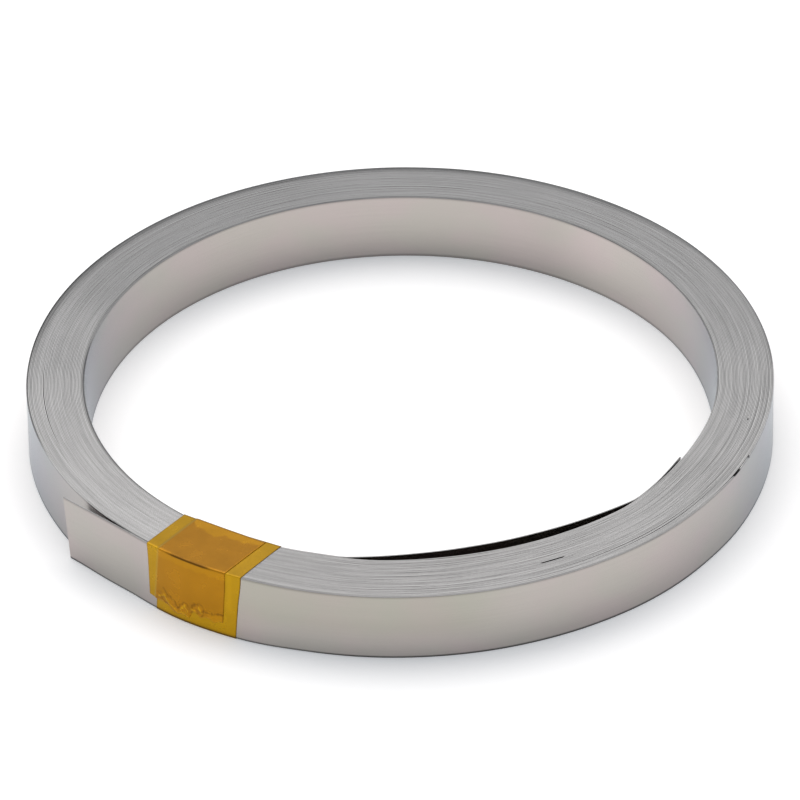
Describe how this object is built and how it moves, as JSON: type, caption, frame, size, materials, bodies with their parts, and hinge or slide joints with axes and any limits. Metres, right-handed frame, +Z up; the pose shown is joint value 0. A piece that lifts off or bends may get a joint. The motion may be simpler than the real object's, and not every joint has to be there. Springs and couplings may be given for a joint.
{
  "type": "nickel strip coil",
  "caption": "Flat coil of bright nickel strip for joining battery cells, bound with amber film tape, with a free outer end and an inner lap that has sprung into the bore.",
  "frame": {"origin": "on the coil's axis, in the plane of its lower end, which lies on the floor", "axes": "+Z up along the coil's axis, +X to the right and +Y away from the viewer of the picture"},
  "size_m": [0.0819, 0.0821, 0.0082],
  "materials": {
    "nickel": "bright cold-rolled nickel with slit edges",
    "film_tape": "glossy amber polyimide film"
  },
  "bodies": {
    "root": {"strip": "nickel", "tape": "film_tape"}
  },
  "joints": []
}
